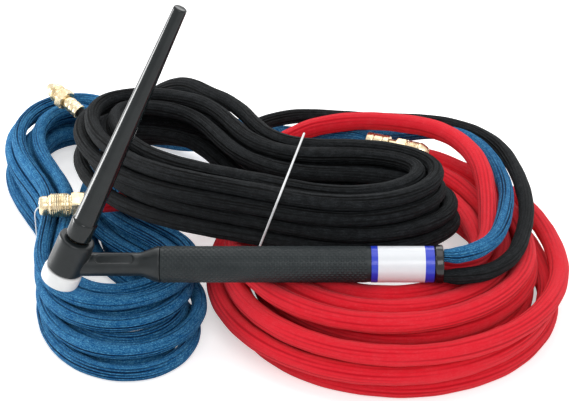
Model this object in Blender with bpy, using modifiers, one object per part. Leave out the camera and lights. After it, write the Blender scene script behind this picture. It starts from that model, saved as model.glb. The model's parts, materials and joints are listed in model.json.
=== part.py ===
"""Water-cooled TIG torch with a long back cap, lying on its three wound hoses.

Each piece is one object in metres, +Z up, with the bench at z = 0. The handle lies
along X and the head axis leans in the XZ plane.
"""
from math import cos, exp, hypot, pi, radians, sin

import bmesh
import bpy
import numpy as np
from mathutils import Matrix, Vector

for old in list(bpy.data.objects):
    bpy.data.objects.remove(old, do_unlink=True)

CLEAR = 0.0003            # free space kept between neighbouring pieces
MID_X = 0.0144            # middle of the photo's view, measured from the origin
AXIS_Z = 0.0628           # height of the handle axis over the bench
HEAD_X = MID_X - 0.1328   # where the head axis meets the handle axis
HEAD_ANGLE = radians(66)

HANDLE_FRONT = MID_X - 0.0753
HANDLE_REAR = MID_X + 0.0906
HANDLE_R = 0.0111
HANDLE_WALL = 0.0019
HANDLE_BORE_R = HANDLE_R - HANDLE_WALL
LABEL_FRONT = MID_X + 0.0524
LABEL_SKIN = 0.0003
PLUG_R = HANDLE_BORE_R - CLEAR
PLUG_REAR = HANDLE_FRONT + 0.030
BOOT_R = 0.0119
BOOT_LENGTH = 0.0052
BOOT_REAR = HANDLE_REAR + CLEAR + BOOT_LENGTH

NECK_R = 0.0072
FLARE_START = MID_X - 0.0890
HEAD_R = 0.01125
HEAD_LOW = -0.0030        # ends of the moulded head along the head axis
HEAD_TOP = 0.0204
CORE_R = 0.0060
CORE_NOSE_R = 0.0050
CORE_BORE_R = 0.0038
CAP_THREAD_R = 0.0048
CORE_LOW = -0.0124
GASKET_R = 0.0121
GASKET_LOW = -0.0130

RING_R = 0.00055          # section of the seal under the back cap
SEAL_T = HEAD_TOP + CLEAR + RING_R
COLLAR_LOW = SEAL_T + RING_R + CLEAR
COLLAR_R = 0.0080
COLLAR_HIGH = COLLAR_LOW + 0.0112
CAP_ROOT_R = 0.00725
CAP_TIP_R = 0.0040
CAP_TIP = 0.1845
CAP_BORE_R = 0.0022

TUBE_R = 0.0020
HOSE_R = 0.0028
HOSE_SPREAD = PLUG_R - HOSE_R - 0.0009   # bare hoses round the handle axis
HOSE_BORE_R = 0.0020
BARB_R = HOSE_BORE_R - CLEAR
SOCKET_R = 0.0031
# name of the line, its angle round the handle axis in degrees, and where its barb starts
LINES = (("power", -19.0, MID_X - 0.030), ("water", 101.5, MID_X - 0.018), ("gas", 221.5, MID_X - 0.024))

RED_D = 0.0125
BLUE_D = 0.0098
BLACK_D = 0.0098
STRAND_GAP = 0.0006       # free space between the strands of a coil
SQUASH = 0.4              # height of a bottom strand's centre in diameters
TIE_R = 0.0006

parts = bpy.data.collections.new("tig_torch")
cutters = bpy.data.collections.new("cutters")
bpy.context.scene.collection.children.link(parts)
bpy.context.scene.collection.children.link(cutters)
HANDLE_AXIS = Vector((1, 0, 0))
HEAD_AXIS = Vector((cos(HEAD_ANGLE), 0, sin(HEAD_ANGLE)))
HANDLE_ZERO = Vector((0, 0, AXIS_Z))
HEAD_ZERO = Vector((HEAD_X, 0, AXIS_Z))


def material(name, colour, rough, metal=0.0):
    """a plain Principled material"""
    made = bpy.data.materials.new(name)
    made.use_nodes = True
    shader = made.node_tree.nodes["Principled BSDF"]
    shader.inputs["Base Color"].default_value = (*colour, 1)
    shader.inputs["Roughness"].default_value = rough
    shader.inputs["Metallic"].default_value = metal
    return made


def add(name, mesh, look):
    """one named piece, or a hidden tool for a Boolean when it has no look"""
    obj = bpy.data.objects.new(name, mesh)
    if look is None:
        cutters.objects.link(obj)
        obj.hide_render = True
        obj.display_type = 'WIRE'
        return obj
    parts.objects.link(obj)
    mesh.materials.append(material(name, *look))
    return obj


def stand(obj, origin, direction):
    """puts an object's own z along a direction"""
    turn = Vector(direction).to_track_quat('Z', 'Y').to_matrix().to_4x4()
    obj.matrix_world = Matrix.Translation(Vector(origin)) @ turn
    return obj


def lathe(name, profile, origin, direction, steps, look=None):
    """a turned piece from (radius, height) points that run down its outer side"""
    points = [(r, 0, z) for r, z in profile]
    edges = [(i, i + 1) for i in range(len(points) - 1)]
    if profile[0][0] > 0:
        edges.append((len(points) - 1, 0))
    mesh = bpy.data.meshes.new(name)
    mesh.from_pydata(points, edges, [])
    obj = stand(add(name, mesh, look), origin, direction)
    turned = obj.modifiers.new("turned", 'SCREW')
    turned.angle = 2 * pi
    turned.axis = 'Z'
    turned.steps = steps
    turned.render_steps = steps
    turned.use_merge_vertices = True
    turned.merge_threshold = 0.00001
    return obj


def rod(name, a, b, radius, steps=24, look=None):
    """a plain round bar between two points"""
    reach = Vector(b) - Vector(a)
    profile = [(0, reach.length), (radius, reach.length), (radius, 0), (0, 0)]
    return lathe(name, profile, a, reach, steps, look)


def sleeve(name, outer, inner, low, high, origin, direction, steps, look):
    """a plain round tube between two heights along an axis"""
    profile = [(outer, high), (outer, low), (inner, low), (inner, high)]
    return lathe(name, profile, origin, direction, steps, look)


def prism(name, outline, low, high, origin=None, direction=None, look=None):
    """a straight bar with the given flat outline"""
    made = bmesh.new()
    loop = [made.verts.new((x, y, low)) for x, y in outline]
    face = made.faces.new(loop)
    raised = bmesh.ops.extrude_face_region(made, geom=[face])
    tops = [v for v in raised["geom"] if isinstance(v, bmesh.types.BMVert)]
    bmesh.ops.translate(made, verts=tops, vec=(0, 0, high - low))
    bmesh.ops.recalc_face_normals(made, faces=made.faces)
    mesh = bpy.data.meshes.new(name)
    made.to_mesh(mesh)
    made.free()
    obj = add(name, mesh, look)
    return stand(obj, origin, direction) if direction is not None else obj


def hexagon(corner, turn):
    """the outline of a six-sided nut"""
    angles = [radians(60 * i + turn) for i in range(6)]
    return [(corner * cos(a), corner * sin(a)) for a in angles]


def combine(obj, tool, operation):
    """joins a tool to an object or takes it away"""
    step = obj.modifiers.new(tool.name, 'BOOLEAN')
    step.operation = operation
    step.solver = 'EXACT'
    step.object = tool
    return obj


def tube(name, points, diameter, resolution, look, closed=False):
    """a round tube through the points, as a plain mesh"""
    data = bpy.data.curves.new(name + "_path", 'CURVE')
    data.dimensions = '3D'
    data.bevel_depth = diameter / 2
    data.bevel_resolution = resolution
    data.use_fill_caps = not closed
    line = data.splines.new('POLY')
    line.points.add(len(points) - 1)
    for spot, p in zip(line.points, points):
        spot.co = (*p, 1)
    line.use_cyclic_u = closed
    path = bpy.data.objects.new(name + "_path", data)
    bpy.context.scene.collection.objects.link(path)
    bpy.context.view_layer.update()
    ready = path.evaluated_get(bpy.context.evaluated_depsgraph_get())
    mesh = bpy.data.meshes.new_from_object(ready)
    place = path.matrix_world.copy()
    bpy.data.objects.remove(path, do_unlink=True)
    tidy = bmesh.new()
    tidy.from_mesh(mesh)
    bmesh.ops.remove_doubles(tidy, verts=tidy.verts, dist=0.000001)
    bmesh.ops.recalc_face_normals(tidy, faces=tidy.faces)
    tidy.to_mesh(mesh)
    tidy.free()
    mesh.materials.clear()
    obj = add(name, mesh, look)
    obj.matrix_world = place
    return obj


# Looks: linear colour, roughness, metal
RUBBER = ((0.030, 0.036, 0.040), 0.45)
HANDLE_LOOK = ((0.042, 0.051, 0.056), 0.55)
BOOT_LOOK = ((0.010, 0.011, 0.012), 0.30)
CAP_LOOK = ((0.032, 0.041, 0.045), 0.22)
SEAL_LOOK = ((0.012, 0.012, 0.012), 0.60)
WHITE = ((0.85, 0.85, 0.84), 0.40)
LABEL_LOOK = ((0.82, 0.84, 0.88), 0.30)
BRASS = ((0.80, 0.62, 0.32), 0.28, 1.0)
COPPER = ((0.72, 0.36, 0.22), 0.35, 1.0)
BARE_HOSE = ((0.020, 0.020, 0.022), 0.60)
RED = ((0.80, 0.030, 0.050), 0.70)
BLUE = ((0.021, 0.130, 0.287), 0.75)
BLACK = ((0.012, 0.013, 0.015), 0.80)
TIE_LOOK = ((0.85, 0.86, 0.86), 0.40)


def line_place(spread, angle, x):
    """a point beside the handle axis"""
    return Vector((x, spread * cos(radians(angle)), AXIS_Z + spread * sin(radians(angle))))


# Head, neck and plug: one rubber moulding over the head core and its three tubes
flare = [(NECK_R + (HANDLE_R - NECK_R) * (3 * s * s - 2 * s ** 3),
          FLARE_START + (HANDLE_FRONT - CLEAR - FLARE_START) * s) for s in (0.2, 0.4, 0.6, 0.8, 1.0)]
neck = [(0, PLUG_REAR), (PLUG_R, PLUG_REAR), (PLUG_R, HANDLE_FRONT - CLEAR)]
neck += flare[::-1] + [(NECK_R, FLARE_START), (NECK_R, HEAD_X), (0, HEAD_X)]
head = [(0, HEAD_TOP), (HEAD_R - 0.0012, HEAD_TOP), (HEAD_R, HEAD_TOP - 0.0012),
        (HEAD_R, HEAD_LOW + 0.0010), (HEAD_R - 0.0010, HEAD_LOW), (0, HEAD_LOW)]
neck_shape = lathe("neck_shape", neck, HANDLE_ZERO, HANDLE_AXIS, 32)
gasket_room = rod("gasket_room", HEAD_ZERO - HEAD_AXIS * 0.03, HEAD_ZERO + HEAD_AXIS * (HEAD_LOW + 0.0005),
                  GASKET_R + 2 * CLEAR, 32)
combine(neck_shape, gasket_room, 'DIFFERENCE')
body = lathe("body_moulding", head, HEAD_ZERO, HEAD_AXIS, 32, RUBBER)
combine(body, neck_shape, 'UNION')

# Shallow pocket on the upper near side of the neck
POCKET_LENGTH = 0.0235
POCKET_R = 0.0030
POCKET_X = MID_X - 0.1030
pocket_out = Vector((0, -cos(radians(62)), sin(radians(62))))
ends = [(side, radians(-90 + 22.5 * i)) for side in (1, -1) for i in range(9)]
pocket = [(side * (POCKET_LENGTH / 2 - POCKET_R + POCKET_R * cos(a)), side * POCKET_R * sin(a))
          for side, a in ends]
pocket_tool = prism("pocket", pocket, 0, 0.01)
side_way = HANDLE_AXIS.cross(pocket_out)
turn = Matrix((HANDLE_AXIS, -side_way, pocket_out)).transposed().to_4x4()
pocket_floor = Vector((POCKET_X, 0, AXIS_Z)) + pocket_out * (NECK_R - 0.0012)
pocket_tool.matrix_world = Matrix.Translation(pocket_floor) @ turn
combine(body, pocket_tool, 'DIFFERENCE')

core = [(CORE_R, HEAD_TOP - CLEAR), (CORE_R, HEAD_LOW + 0.0006), (CORE_NOSE_R, HEAD_LOW),
        (CORE_NOSE_R, CORE_LOW), (CORE_BORE_R, CORE_LOW), (CORE_BORE_R, 0.0040),
        (CAP_THREAD_R, 0.0050), (CAP_THREAD_R, HEAD_TOP - CLEAR)]
lathe("head_core", core, HEAD_ZERO, HEAD_AXIS, 24, BRASS)

gasket_top = HEAD_LOW - CLEAR
gasket = [(GASKET_R - 0.0016, gasket_top), (GASKET_R - 0.0004, gasket_top - 0.0005),
          (GASKET_R, gasket_top - 0.0018), (GASKET_R, GASKET_LOW + 0.0022),
          (GASKET_R - 0.0006, GASKET_LOW + 0.0007), (GASKET_R - 0.0021, GASKET_LOW),
          (CORE_NOSE_R + CLEAR, GASKET_LOW), (CORE_NOSE_R + CLEAR, gasket_top)]
lathe("cup_gasket", gasket, HEAD_ZERO, HEAD_AXIS, 28, WHITE)

# The three lines inside the neck and the handle
for line_name, angle, barb_x in LINES:
    near = line_place(0.0034, angle, HEAD_X + 0.0106)
    far = line_place(HOSE_SPREAD, angle, barb_x + 0.0055)
    way = (far - near).normalized()
    sleeve(line_name + "_tube", TUBE_R, TUBE_R - 0.0007, 0, (far - near).length, near, way, 16, COPPER)
    hole = rod(line_name + "_hole", near - way * 0.006, far, TUBE_R + CLEAR, 16)
    combine(body, hole, 'DIFFERENCE')
    zero = line_place(HOSE_SPREAD, angle, barb_x)
    ridges = []
    for k in range(3):
        ridges += [(BARB_R - 0.0004, 0.0200 - 0.004 * k), (BARB_R, 0.0184 - 0.004 * k),
                   (BARB_R - 0.0004, 0.0183 - 0.004 * k)]
    barb = ridges + [(BARB_R - 0.0004, 0.0070), (SOCKET_R, 0.0070), (SOCKET_R, 0), (TUBE_R + CLEAR, 0),
                     (TUBE_R + CLEAR, 0.0060), (0.0008, 0.0060), (0.0008, 0.0200)]
    lathe(line_name + "_barb", barb, zero, HANDLE_AXIS, 16, BRASS)
    sleeve(line_name + "_hose_end", HOSE_R, HOSE_BORE_R, 0.0070 + CLEAR, BOOT_REAR - barb_x, zero,
           HANDLE_AXIS, 16, BARE_HOSE)
    sleeve(line_name + "_crimp", HOSE_R + CLEAR + 0.0004, HOSE_R + CLEAR, 0.0085, 0.0185, zero,
           HANDLE_AXIS, 16, BRASS)

core_hole = rod("core_hole", HEAD_ZERO - HEAD_AXIS * 0.03, HEAD_ZERO + HEAD_AXIS * 0.03, CORE_R + CLEAR, 32)
combine(body, core_hole, 'DIFFERENCE')

groove_r = HANDLE_R - LABEL_SKIN - CLEAR
grip = [(groove_r, HANDLE_REAR), (groove_r, LABEL_FRONT - CLEAR), (HANDLE_R, LABEL_FRONT - CLEAR),
        (HANDLE_R, HANDLE_FRONT), (HANDLE_BORE_R, HANDLE_FRONT), (HANDLE_BORE_R, HANDLE_REAR)]
lathe("handle_sleeve", grip, HANDLE_ZERO, HANDLE_AXIS, 34, HANDLE_LOOK)
sleeve("label_sleeve", HANDLE_R, HANDLE_R - LABEL_SKIN, LABEL_FRONT, HANDLE_REAR, HANDLE_ZERO,
       HANDLE_AXIS, 34, LABEL_LOOK)

boot_face = HANDLE_REAR + CLEAR
boot = [(0, BOOT_REAR), (BOOT_R - 0.0008, BOOT_REAR), (BOOT_R, BOOT_REAR - 0.0010),
        (BOOT_R, boot_face + 0.0010), (BOOT_R - 0.0008, boot_face), (PLUG_R, boot_face),
        (PLUG_R, boot_face - 0.0110), (0, boot_face - 0.0110)]
boot_piece = lathe("handle_rear_boot", boot, HANDLE_ZERO, HANDLE_AXIS, 32, BOOT_LOOK)
for line_name, angle, barb_x in LINES:
    hole = rod(line_name + "_boot_hole", line_place(HOSE_SPREAD, angle, boot_face - 0.02),
               line_place(HOSE_SPREAD, angle, BOOT_REAR + 0.01), HOSE_R + CLEAR, 16)
    combine(boot_piece, hole, 'DIFFERENCE')

# Back cap: a threaded stem in the core, a collar over the seal and a long tapered tube
seal = [(0.0058 + RING_R * cos(radians(a)), SEAL_T + RING_R * sin(radians(a)))
        for a in range(90, -270, -45)]
lathe("back_cap_o_ring", seal, HEAD_ZERO, HEAD_AXIS, 24, SEAL_LOOK)
stem_r = CAP_THREAD_R - CLEAR
cap = [(0, CAP_TIP), (CAP_TIP_R - 0.0006, CAP_TIP), (CAP_TIP_R, CAP_TIP - 0.0008),
       (CAP_ROOT_R, COLLAR_HIGH + 0.0013), (CAP_ROOT_R + 0.00015, COLLAR_HIGH + 0.0008),
       (COLLAR_R, COLLAR_HIGH), (COLLAR_R, COLLAR_LOW + 0.0006), (COLLAR_R - 0.0006, COLLAR_LOW), (stem_r, COLLAR_LOW), (stem_r, 0.0060), (CAP_BORE_R, 0.0060),
       (CAP_BORE_R, CAP_TIP - 0.0040), (0, CAP_TIP - 0.0030)]
lathe("back_cap", cap, HEAD_ZERO, HEAD_AXIS, 28, CAP_LOOK)


def oval(a, front, back):
    """a rounded outline, longer at its back than at its front"""
    return lambda e: (a * cos(e), (front if sin(e) < 0 else back) * sin(e))


def hank(front, back, half, full_front, full_back, waist, reach, wide_front, wide_back,
         curl_front, curl_back):
    """a long outline with two lobes, drawn in at the waist, along a curved axis"""
    def outline(e):
        c = cos(e)
        x = c * (front if c > 0 else back)
        full = full_front if c > 0 else full_back
        y = sin(e) * (half * (1 + full * c * c) - (half - waist) * exp(-(x / reach) ** 2))
        y *= wide_back + (wide_front - wide_back) * (0.5 + 0.5 * c)
        curl = curl_front if c > 0 else curl_back
        return sin(curl * x) / curl - y * sin(curl * x), (1 - cos(curl * x)) / curl + y * cos(curl * x)
    return outline


def inset(phase, turns, layers, step_in, step_out):
    """how far a strand lies inside the outline: in and out by turns, with rounded corners"""
    soft = 0.25
    total = 0
    for k in range(layers):
        slope = step_in if k % 2 == 0 else -step_out
        total += slope * min(max(phase - turns * k, 0), turns)
        past = phase - turns * (k + 1)
        if k < layers - 1 and abs(past) < soft:
            change = (-step_out if k % 2 == 0 else step_in) - slope
            total += change * ((past + soft) ** 2 / (4 * soft) - max(past, 0))
    return total


def layer(phase, turns, layers):
    """the layer a strand lies in, climbing in the half turn where the spiral reverses"""
    level = 0
    for k in range(1, layers):
        s = min(max((phase - turns * k) / 0.5 + 0.5, 0), 1)
        level += s * s * (3 - 2 * s)
    return level


def wound(outline, d, turns, layers, steps, centre, tilt, way, base, span, seam,
          drift=0, gain=0, draw=0, spread=0):
    """the middle line of a coil of piled loops, 24 points a loop"""
    count = round((span[1] - span[0]) * 24)
    c, s = cos(radians(tilt)), sin(radians(tilt))
    line = []
    for i in range(count + 1):
        phase = span[0] + (span[1] - span[0]) * i / count
        e = radians(seam) + way * 2 * pi * phase
        x, y = outline(e)
        x2, y2 = outline(e + 0.0001 * way)
        run = hypot(x2 - x, y2 - y) * way
        fold = (0.5 + 0.5 * cos(e)) ** 2
        eye = (0.5 - 0.5 * cos(e)) ** 2
        level = layer(phase, turns, layers)
        q = (inset(phase, turns, layers, *steps) - span[0] * steps[0]) * (1 + gain * fold + spread * eye)
        u = x - (y2 - y) / run * q - draw * fold * level / (layers - 1)
        v = y + (x2 - x) / run * q
        z = base + d / 2 + level * (d + STRAND_GAP)
        line.append((MID_X + centre[0] + c * u - s * v,
                     centre[1] + drift * phase / (turns * layers) + s * u + c * v, z))
    return np.array(line)


def least_gap(line, d):
    """least free space between a tube and itself, on its points and between them"""
    share = (0, 0.25, 0.5, 0.75)
    dots = np.vstack([line[:-1] * (1 - t) + line[1:] * t for t in share])
    order = np.concatenate([np.arange(len(line) - 1) + t for t in share])
    best = 1.0
    for dot, place in zip(dots, order):
        far = np.abs(order - place) > 6
        best = min(best, np.linalg.norm(dots[far] - dot, axis=1).min())
    return best - d


def length(line):
    """the length of a line of points"""
    return np.linalg.norm(np.diff(line, axis=0), axis=1).sum()


def straight_ends(line, d):
    """the same line with a straight end of one diameter at each side"""
    first = (line[0] - line[1]) / np.linalg.norm(line[0] - line[1])
    last = (line[-1] - line[-2]) / np.linalg.norm(line[-1] - line[-2])
    return np.vstack([line[0] + first * d, line, line[-1] + last * d]), -first, last


def smooth(route, first_way, last_way):
    """fine points on a smooth curve through the points of a route, with set directions at its ends"""
    spots = [np.array(p, float) for p in route]
    before = spots[1] - 2 * first_way * (first_way @ (spots[1] - spots[0]))
    after = spots[-2] + 2 * last_way * (last_way @ (spots[-1] - spots[-2]))
    spots = [before] + spots + [after]
    fine = []
    for p0, p1, p2, p3 in zip(spots, spots[1:], spots[2:], spots[3:]):
        t1 = np.linalg.norm(p1 - p0) ** 0.5
        t2 = t1 + np.linalg.norm(p2 - p1) ** 0.5
        t3 = t2 + np.linalg.norm(p3 - p2) ** 0.5
        for t in np.linspace(t1, t2, 24, endpoint=False):
            a1 = p0 + (p1 - p0) * t / t1
            a2 = p1 + (p2 - p1) * (t - t1) / (t2 - t1)
            a3 = p2 + (p3 - p2) * (t - t2) / (t3 - t2)
            b1 = a1 + (a2 - a1) * t / t2
            b2 = a2 + (a3 - a2) * (t - t1) / (t3 - t1)
            fine.append(b1 + (b2 - b1) * (t - t1) / (t2 - t1))
    fine.append(spots[-2])
    return np.array(fine)


def thinned(fine, d):
    """points of a fine curve, closer where it bends, with both straight ends kept"""
    run = np.concatenate([[0], np.cumsum(np.linalg.norm(np.diff(fine, axis=0), axis=1))])
    way = np.diff(fine, axis=0) / np.diff(run)[:, None]
    kept = [0, 1]
    turned = 0.0
    for i in range(2, len(fine) - 2):
        turned += np.arccos(np.clip(way[i - 1] @ way[i], -1, 1))
        step = run[i] - run[kept[-1]]
        if step > 2.8 * d or (turned > radians(16) and step > 0.7 * d):
            kept.append(i)
            turned = 0.0
    if run[-2] - run[kept[-1]] < 0.6 * d and len(kept) > 2:
        kept.pop()
    return fine[kept + [len(fine) - 2, len(fine) - 1]]


def hose_run(start, first_way, route, end, last_way):
    """a smooth run of hose between two places, with a short straight piece at each"""
    inner = [start + first_way * 0.003] + route + [end - last_way * 0.003]
    return np.vstack([start, smooth(inner, first_way, last_way), end])


def mm(points):
    """route points given in millimetres from the middle of the view"""
    return [np.array((MID_X + 0.001 * x, 0.001 * y, 0.001 * z)) for x, y, z in points]


# The three wound lengths
red_line = wound(oval(0.1120, 0.1120, 0.1520), RED_D, 3, 4, (0.0199, 0.0149), (0.0662, 0.0535), 0, -1,
                 (SQUASH - 0.5) * RED_D, (0.90, 11.78), 77, drift=0.002)[::-1]
blue_line = wound(hank(0.159, 0.181, 0.0674, 0.19, 1.55, 0.035, 0.0752, 1.07, 0.52, 3.25, 1.0), BLUE_D,
                  2, 4,
                  (0.0113, 0.0109), (-0.1375, 0.1140), -78.5, 1, (SQUASH - 0.5) * BLUE_D, (0.13, 8.0), 115,
                  gain=0.10, draw=0.0357, spread=0.5)
black_line = wound(hank(0.1253, 0.156, 0.0521, 0.56, 0.48, 0.0395, 0.0508, 0.695, 1.284, 6.7, 6.7),
                   BLACK_D, 2, 4, (0.0120, 0.0115), (-0.009, 0.070), -20.8, 1, 0.0515, (0.10, 8.08), 114,
                   draw=0.0148,
                   spread=0.5)
black_line[:, 2] += 0.026 * (MID_X + 0.112 - black_line[:, 0])   # left end lifted by the red hose under it

# Where the end fittings start, and which way they point
POWER_END, POWER_WAY = mm([(-128.3, 97, 49.0)])[0], np.array((-0.9962, -0.0872, 0))
GAS_END, GAS_WAY = mm([(-150.5, 232.6, 48.2)])[0], np.array((-0.7200, 0.6000, 0.3487))
WATER_END, WATER_WAY = mm([(58.3, 172.2, 57.3)])[0], np.array((0.9170, -0.3989, 0))

LEADS = {
    "red": [(96.5, 5.7, 60.8), (104, 5.8, 60.7), (114, 10.5, 60), (122, 20.5, 58.8), (127.5, 36, 57.8),
            (130.8, 60, 57.8), (132.5, 87, 61.2), (131.4, 113, 66), (125.5, 137, 67.8), (115, 156.5, 68.2),
            (100, 170, 68), (81, 177, 67.9), (58, 179, 68.6), (37, 176.5, 68.3), (14, 173.5, 64),
            (-7, 164, 55.5), (-17.5, 146, 49)],
    "blue": [(96.5, -1.5, 70.1), (105, -1.3, 70.1), (117, 4.6, 70.1), (129, 20, 68.5), (136.5, 41, 66.5),
             (142, 66, 64.4), (145.6, 92, 60.5), (146, 119, 56.8), (142.5, 145, 56), (135, 166, 56),
             (123, 182.5, 55.5), (106, 195, 51.5), (83, 202.5, 45.6), (60, 207.5, 43), (36, 213, 40.5),
             (8, 221, 35), (-22, 231.5, 27), (-48, 243, 17), (-71, 255, 9), (-95, 269, 5.1)],
    "black": [(96.5, -5.7, 57.8), (106, -5.5, 57.7), (124, 0.5, 56.9), (141, 19, 56.2), (151, 46, 56),
              (157.3, 76, 56), (158.5, 104, 56), (156, 135, 56), (148.5, 165, 56), (133, 190.5, 54.6),
              (111, 206, 53), (85, 211.5, 52.4), (60, 209.5, 54), (36, 204.5, 58.5), (10, 197.5, 63),
              (-11, 188.5, 63.5), (-25, 179.2, 62), (-36, 174.4, 60.8)]}
TAILS = {
    "red": [(-18, 179, 6), (-46, 155, 12), (-68, 129, 27), (-86, 112.5, 42.5), (-100, 104, 47.6)],
    "blue": [(-102, 216, 35.6), (-92.5, 229, 36.8), (-76, 235, 38.4), (-57, 230, 41), (-36, 217.5, 45),
             (-15, 203, 49.6), (5, 190.5, 52.6), (28, 183.5, 54.8)],
    "black": [(-69, 191.5, 91), (-84, 202.5, 82.5), (-99, 211.5, 68.5), (-113, 217.5, 55.5),
              (-127, 221.8, 48), (-139, 225.8, 46)]}
HOSES = (("red", "coil", red_line, RED_D, RED, POWER_END, POWER_WAY),
         ("blue", "hank", blue_line, BLUE_D, BLUE, WATER_END, WATER_WAY),
         ("black", "hank", black_line, BLACK_D, BLACK, GAS_END, GAS_WAY))

bench = prism("bench_cut", [(-0.6, -0.6), (0.6, -0.6), (0.6, 0.6), (-0.6, 0.6)], -0.02, 0)
coils = {}
for colour, kind, middle, d, look, end, out in HOSES:
    full, way_in, way_out = straight_ends(middle, d)
    route = mm(LEADS[colour])
    lead = hose_run(route[0], np.array(HANDLE_AXIS), route[1:], full[0] - way_in * CLEAR, way_in)
    tail = hose_run(full[-1] + way_out * CLEAR, way_out, mm(TAILS[colour]), end - out * CLEAR, out)
    lead_piece = tube(colour + "_lead", thinned(lead, d), d, 2, look)
    coils[colour] = tube(colour + "_" + kind, full, d, 1, look)
    tail_piece = tube(colour + "_tail", thinned(tail, d), d, 2, look)
    lying = {"red": [coils[colour], tail_piece], "blue": [lead_piece, coils[colour]]}
    for on_bench in lying.get(colour, []):
        combine(on_bench, bench, 'DIFFERENCE')
    print(colour, "least gap in its coil %.2f mm" % (1000 * least_gap(middle, d)),
          "whole hose %.2f m" % (length(lead) + length(full) + length(tail)))

# Power and water return: a crimp ring and an adaptor with hexagon, thread and nose
sleeve("power_end_ferrule", 0.0056, 0.0030, 0, 0.0034, POWER_END, POWER_WAY, 24, BRASS)
adaptor = [(0.0026, 0.0340), (0.0050, 0.0340), (0.0062, 0.0330), (0.0065, 0.0315), (0.0065, 0.0285),
           (0.0069, 0.0285), (0.0069, 0.0272), (0.00795, 0.0268), (0.00795, 0.0142), (0.0066, 0.0138),
           (0.0066, 0.0100), (0.0050, 0.0090), (0.0050, 0.0040), (0.0026, 0.0040)]
adaptor_piece = lathe("power_end_adaptor", adaptor, POWER_END, POWER_WAY, 32, BRASS)
adaptor_hex = prism("adaptor_hex", hexagon(0.0094, 0), 0.0037, 0.0127, POWER_END, POWER_WAY)
hex_bore = rod("adaptor_hex_bore", Vector(POWER_END), Vector(POWER_END + POWER_WAY * 0.02), 0.0040, 24)
combine(adaptor_hex, hex_bore, 'DIFFERENCE')
combine(adaptor_piece, adaptor_hex, 'UNION')


def nipple_and_nut(name, end, way, ferrule_r, ferrule_l, shank_r, flange_r, nut_low, hex_r, hex_l,
                   thread_r, nut_high):
    """a crimp ring, a bullet-nosed nipple and the loose nut that turns on it"""
    sleeve(name + "_end_ferrule", ferrule_r, 0.0026, 0, ferrule_l, end, way, 24, BRASS)
    flange = nut_high + CLEAR
    nipple = [(0.0015, flange + 0.0068), (0.0022, flange + 0.0068), (0.0036, flange + 0.0050),
              (flange_r - 0.0004, flange + 0.0022), (flange_r, flange + 0.0016), (flange_r, flange),
              (shank_r, flange), (shank_r, ferrule_l + CLEAR), (0.0015, ferrule_l + CLEAR)]
    lathe(name + "_end_nipple", nipple, end, way, 24, BRASS)
    nut = [(thread_r - 0.0005, nut_high), (thread_r, nut_high - 0.0006),
           (thread_r, nut_low + hex_l - 0.001), (shank_r + 0.0009, nut_low + hex_l - 0.001),
           (shank_r + 0.0009, nut_low + hex_l - 0.002),
           (shank_r + CLEAR, nut_low + hex_l - 0.002), (shank_r + CLEAR, nut_high)]
    piece = lathe(name + "_end_nut", nut, end, way, 24, BRASS)
    six = prism(name + "_nut_hex", hexagon(hex_r, 0), nut_low, nut_low + hex_l, end, way)
    bore = rod(name + "_nut_bore", Vector(end), Vector(end + way * 0.06), shank_r + CLEAR, 24)
    combine(six, bore, 'DIFFERENCE')
    combine(piece, six, 'UNION')


nipple_and_nut("gas", GAS_END, GAS_WAY, 0.0052, 0.0110, 0.0042, 0.0056, 0.0140, 0.0080, 0.0060, 0.0066,
               0.0264)
nipple_and_nut("water", WATER_END, WATER_WAY, 0.0056, 0.0160, 0.0036, 0.0052, 0.0220, 0.0061, 0.0070,
               0.0053, 0.0377)


def tie_loop(name, line, d, spot, across, lean=0, low=0):
    """a thin tie round all the strands that cross a plane, upright or leaning along the hank"""
    across = np.array((*across, 0.0)) / np.linalg.norm(across)
    along = np.array((-across[1], across[0], 0))
    upright = np.array((0, 0, 1))
    up = upright * cos(radians(lean)) + along * sin(radians(lean))
    square = along * cos(radians(lean)) - upright * sin(radians(lean))
    fine = np.vstack([line[:-1] * (1 - t) + line[1:] * t for t in np.linspace(0, 1, 32, endpoint=False)])
    near = fine[np.abs((fine - spot) @ square) < 0.0008]
    side = (near - spot) @ across
    height = (near - spot) @ up
    out = d / 2 / cos(radians(lean)) + TIE_R + 2 * CLEAR
    left, right = side.min(), side.max()
    bottom, top = height.min(), height.max()
    path = []
    for u, h, turn in ((right, top, 0), (left, top, 90), (left, bottom, 180), (right, bottom, 270)):
        for a in (turn, turn + 30, turn + 60, turn + 90):
            place = spot + across * (u + out * cos(radians(a))) + up * (h + out * sin(radians(a)))
            path.append((place[0], place[1], max(place[2], low)))
    tube(name, path, 2 * TIE_R, 1, TIE_LOOK, closed=True)
    return spot, across, left - out, right + out


tie_loop("black_hank_tie", black_line, BLACK_D, mm([(7, 74, 98)])[0], (-17, -88), lean=18.6)
spot, across, left, right = tie_loop("blue_hank_tie", blue_line, BLUE_D, mm([(-137.5, 114, 0)])[0],
                                     (0.97, 0.24), low=TIE_R + CLEAR)
along = np.array((-across[1], across[0], 0))
corners = ((left, -0.0011), (right, -0.0011), (right, 0.0011), (left, 0.0011))
notch = [spot + across * u + along * v for u, v in corners]
notch_tool = prism("tie_notch", [(p[0], p[1]) for p in notch], -0.01, 2 * (TIE_R + CLEAR))
combine(coils["blue"], notch_tool, 'DIFFERENCE')
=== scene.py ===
"""Finish of a water-cooled TIG torch: covered hoses, a moulded body, a knurled handle and brass ends.

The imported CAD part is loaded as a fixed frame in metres.
Each piece here stands for the CAD nodes that it replaces.
"""
import json
from math import cos, exp, hypot, pi, radians, sin

import bmesh
import bpy
import numpy as np
from mathutils import Matrix, Vector

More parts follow.
